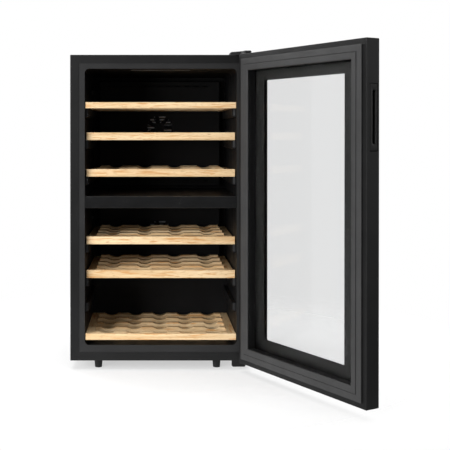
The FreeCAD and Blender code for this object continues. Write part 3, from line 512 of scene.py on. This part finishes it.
def mitred_ring(name, profile, low, high):
    """A closed section run around the shut door's face, mitred at its corners, then opened.
    The section's points are (inset from the outer edge, height off the face), in metres."""
    points = []
    for inset, rise in profile:
        y = low.y + rise
        points += [
            Vector((low.x + inset, y, low.z + inset)),
            Vector((high.x - inset, y, low.z + inset)),
            Vector((high.x - inset, y, high.z - inset)),
            Vector((low.x + inset, y, high.z - inset)),
        ]
    rows = len(profile)
    faces = []
    for row in range(rows):
        following = (row + 1) % rows
        for corner in range(4):
            beside = (corner + 1) % 4
            faces.append((row * 4 + corner, row * 4 + beside,
                          following * 4 + beside, following * 4 + corner))
    piece = add_mesh(name, [door_matrix() @ p for p in points], faces)
    for edge in piece.data.edges:
        a, b = edge.vertices
        edge.use_edge_sharp = a % 4 == b % 4
    return piece


def in_metres(section, most):
    """A section given in millimetres, smoothed and held under a height."""
    return [(u * MM, min(max(h, 0.0) * MM, most)) for u, h in flowing(section, 4)]


def gasket(finishes):
    """The magnetic seal: an undercut foot, a low flange and a step up to the magnet's bulb."""
    low, high = shut_box("door_gasket")
    reach = high.y - low.y
    seal = [
        (3.4, 0.0), (3.3, 0.7), (1.4, 0.9), (0.5, 1.2), (0.2, 2.4), (0.25, 3.8), (0.8, 4.5),
        (2.4, 4.7),
        (10.0, 4.7), (14.8, 4.6), (15.7, 3.4), (16.4, 3.4), (16.8, 4.4), (16.9, 5.5), (17.5, 5.9),
        (19.5, 5.95), (28.4, 5.95), (30.6, 5.5), (31.7, 4.2), (31.9, 3.0), (30.7, 2.5), (29.8, 1.8),
        (29.6, 0.0),
    ]
    piece = mitred_ring("door_gasket_profile", in_metres(seal, reach), low, high)
    paint(piece, finishes["gasket"])
    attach(piece, "door")
    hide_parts("door_gasket")


def rounded_loop(half_a, half_b, radius, steps=8):
    """Points around a flat rectangle with round corners, centred on zero."""
    loop = []
    for corner in range(4):
        start = corner * math.pi / 2
        middle_a = (half_a - radius) * (1, -1, -1, 1)[corner]
        middle_b = (half_b - radius) * (1, 1, -1, -1)[corner]
        for step in range(steps + 1):
            angle = start + step / steps * math.pi / 2
            loop.append((middle_a + radius * math.cos(angle),
                         middle_b + radius * math.sin(angle)))
    return loop


def loft(loops, place):
    """Points and faces of a skin through loops of equal length, closed at its last loop."""
    count = len(loops[0])
    points = [place(*point) for loop in loops for point in loop]
    faces = []
    for row in range(len(loops) - 1):
        for index in range(count):
            beside = (index + 1) % count
            faces.append((row * count + index, row * count + beside,
                          (row + 1) * count + beside, (row + 1) * count + index))
    last = (len(loops) - 1) * count
    faces.append(tuple(last + index for index in range(count)))
    return points, faces


def grip(finishes):
    """The grip moulding: set in with a fine gap, with a stadium slot for the fingers."""
    low, high = shut_box("handle_insert")
    gap = 0.9 * MM
    corner = 2.2 * MM
    slot_half = 4.5 * MM
    slot_margin = 15.5 * MM
    slot_shift = -1.5 * MM
    middle_y = (low.y + high.y) / 2
    middle_z = (low.z + high.z) / 2
    half_y = (high.y - low.y) / 2 - gap
    half_z = (high.z - low.z) / 2 - gap
    slot_z = (high.z - low.z) / 2 - slot_margin

    def outer(inset, depth):
        loop = rounded_loop(half_y - inset, half_z - inset, corner - inset)
        return [(a, b, depth) for a, b in loop]

    def slot(grow, depth):
        loop = rounded_loop(slot_half + grow, slot_z + grow, slot_half + grow - 0.01 * MM)
        return [(a + slot_shift, b, depth) for a, b in loop]

    loops = [
        outer(0.0, high.x - low.x), outer(0.0, 1.6 * MM), outer(0.15 * MM, 1.0 * MM),
        outer(0.6 * MM, 0.6 * MM), outer(1.2 * MM, 0.45 * MM),
        slot(2.0 * MM, 0.5 * MM), slot(1.0 * MM, 0.75 * MM), slot(0.3 * MM, 1.4 * MM),
        slot(0.0, 2.4 * MM), slot(-0.4 * MM, high.x - low.x - 2 * MM),
    ]

    def place(a, b, depth):
        return door_matrix() @ Vector((low.x + depth, middle_y + a, middle_z + b))

    piece = add_mesh("grip_moulding", *loft(loops, place))
    paint(piece, finishes["door_black"])
    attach(piece, "door")
    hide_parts("handle_insert")


def screw_loops(turn):
    """A pan-head screw with a cross recess, as rings of (x, z, height)."""
    count = 32

    def ring(radius, height, cross=0.0):
        """A circle, drawn in between four lobes as deep as the cross says."""
        points = []
        for index in range(count):
            angle = turn + 2 * math.pi * index / count
            lobe = abs(math.cos(2 * (angle - turn))) ** 3
            reach = radius * (1 - cross + cross * lobe)
            points.append((reach * math.cos(angle), reach * math.sin(angle), height))
        return points

    head = [
        ring(3.6 * MM, 0.0), ring(3.6 * MM, 0.5 * MM), ring(3.35 * MM, 1.0 * MM),
        ring(2.8 * MM, 1.35 * MM), ring(2.1 * MM, 1.55 * MM),
    ]
    recess = [
        ring(1.7 * MM, 1.55 * MM, 0.55), ring(1.5 * MM, 1.2 * MM, 0.6),
        ring(0.8 * MM, 0.6 * MM, 0.6),
    ]
    return head + recess


def rear_screws(finishes):
    """Rows of screws that hold the back panel and the compressor cover."""
    panel_low, panel_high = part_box("back_panel")
    cover_low, cover_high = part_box("bay_cover")
    inset = 8 * MM
    cover_bottom_inset = 6 * MM
    cover_top_inset = 5 * MM
    rows = 5
    places = []
    for row in range(rows):
        z = panel_low.z + inset + row * (panel_high.z - panel_low.z - 2 * inset) / (rows - 1)
        places += [(side * (panel_high.x - inset), z, panel_high.y) for side in (-1, 1)]
    for share in (-0.66, 0.66):
        places.append((share * panel_high.x, panel_high.z - inset, panel_high.y))
    for share in (-1.0, -0.02, 1.0):
        for z in (cover_low.z + cover_bottom_inset, cover_high.z - cover_top_inset):
            places.append((share * (cover_high.x - inset), z, cover_high.y))
    points = []
    faces = []
    for x, z, y in places:
        rings = screw_loops(random.uniform(0.0, math.pi / 2))
        some, sides = loft(rings, lambda a, b, height: Vector((x - a, y + height, z + b)))
        start = len(points)
        points += some
        faces += [tuple(start + index for index in face) for face in sides]
    piece = add_mesh("rear_screws", points, faces)
    paint(piece, finishes["steel"])
    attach(piece, "cabinet")


def soften(node, width):
    """Rounds the sharp edges of a CAD piece a little, where they catch the light."""
    piece = frame["nodes"][node]
    weld = piece.modifiers.new("joined", "WELD")
    weld.merge_threshold = 0.02 * MM
    bevel = piece.modifiers.new("rounded", "BEVEL")
    bevel.width = width
    bevel.segments = 2
    bevel.limit_method = "ANGLE"
    bevel.angle_limit = math.radians(40)
    bevel.harden_normals = True


def part_faces(node, gap):
    """Draws a CAD piece's faces in by a hair, so glass isn't coplanar with what it lies on."""
    hair = frame["nodes"][node].modifiers.new("hair_gap", "DISPLACE")
    hair.direction = "NORMAL"
    hair.mid_level = 0.0
    hair.strength = -gap


# ---- Stage, light and camera ----
def add_floor():
    """A wide pale floor that fades into the white surroundings."""
    radius = 4.0
    fade_start = 0.42
    fade_end = 1.0
    mesh = bpy.data.meshes.new("studio_floor")
    form = bmesh.new()
    bmesh.ops.create_circle(form, cap_ends=True, segments=96, radius=radius)
    form.to_mesh(mesh)
    form.free()
    floor = bpy.data.objects.new("studio_floor", mesh)
    bpy.context.scene.collection.objects.link(floor)
    s = Surface("studio_floor", 0.85, color=(0.42, 0.42, 0.42))
    s.set("Emission Color", WHITE)
    s.set("Emission Strength", 0.535)
    distance = s.nodes.new("ShaderNodeVectorMath")
    distance.operation = "LENGTH"
    s.links.new(s.coordinates, distance.inputs[0])
    s.plug("Alpha", s.levels(distance.outputs["Value"], 1.0, 0.0, fade_start, fade_end))
    s.bump(s.noise(300, 3), 0.1 * MM, 0.1)
    paint(floor, s.material)


def add_light(name, location, target, size, power):
    """A soft rectangular lamp aimed at a point."""
    light = bpy.data.lights.new(name, "AREA")
    light.shape = "RECTANGLE"
    light.size, light.size_y = size
    light.energy = power
    lamp = bpy.data.objects.new(name, light)
    lamp.location = location
    aim = Vector(target) - Vector(location)
    lamp.rotation_euler = aim.to_track_quat("-Z", "Y").to_euler()
    bpy.context.scene.collection.objects.link(lamp)


def add_world():
    """White surroundings, dimmer where they only light the object."""
    world = bpy.data.worlds.new("studio")
    bpy.context.scene.world = world
    world.use_nodes = True
    nodes = world.node_tree.nodes
    links = world.node_tree.links
    seen = nodes["Background"]
    seen.inputs["Color"].default_value = WHITE
    seen.inputs["Strength"].default_value = 1.0
    lit = nodes.new("ShaderNodeBackground")
    lit.inputs["Color"].default_value = (0.98, 0.99, 1.0, 1.0)
    lit.inputs["Strength"].default_value = 0.12
    path = nodes.new("ShaderNodeLightPath")
    direct = nodes.new("ShaderNodeMath")
    direct.operation = "MAXIMUM"
    links.new(path.outputs["Is Camera Ray"], direct.inputs[0])
    links.new(path.outputs["Is Transmission Ray"], direct.inputs[1])
    mix = nodes.new("ShaderNodeMixShader")
    links.new(direct.outputs["Value"], mix.inputs["Fac"])
    links.new(lit.outputs["Background"], mix.inputs[1])
    links.new(seen.outputs["Background"], mix.inputs[2])
    links.new(mix.outputs["Shader"], nodes["World Output"].inputs["Surface"])


def add_camera():
    """Square to the front, a little left of the cabinet's middle and above it; the shift brings
    the open door into the frame."""
    data = bpy.data.cameras.new("camera")
    data.sensor_width = 36.0
    data.lens = 72.84
    data.shift_x = 0.1636
    data.shift_y = -0.189
    camera = bpy.data.objects.new("camera", data)
    camera.location = (-0.0249, FRONT - 2.4094, UNDERSIDE + 0.5985)
    camera.rotation_euler = (math.radians(90 - 0.331), 0.0, 0.0)
    bpy.context.scene.collection.objects.link(camera)
    bpy.context.scene.camera = camera


def add_lights():
    """A key from the left, a weak fill, one lamp overhead and three for the back and sides."""
    middle = (0.1, -0.2, 0.42)
    add_light("key", (-2.7, -3.1, 1.2), middle, (2.6, 2.2), 196)
    add_light("fill", (2.8, -3.0, 1.1), middle, (2.2, 2.2), 30)
    add_light("overhead", (0.0, -0.3, 3.6), (0.0, -0.1, 0.0), (4.6, 4.6), 150)
    add_light("behind", (0.3, 3.0, 3.4), middle, (2.6, 1.8), 60)
    add_light("right_side", (3.3, 0.6, 1.3), middle, (1.8, 1.8), 42)
    add_light("rear_left", (-2.8, 2.4, 1.1), middle, (1.8, 1.8), 60)


def main():
    random.seed(7)
    bpy.context.scene.view_settings.view_transform = "Standard"
    finishes = make_finishes()
    finish_nodes(finishes)
    gasket(finishes)
    grip(finishes)
    rear_screws(finishes)
    for shelf in range(1, SHELVES + 1):
        soften(f"shelf_{shelf}_lattice", LATTICE_ROUNDING)
    for node in ("outer_pane", "inner_pane", "pane_borders"):
        part_faces(node, HAIR_GAP)
    add_floor()
    add_world()
    add_lights()
    add_camera()


main()
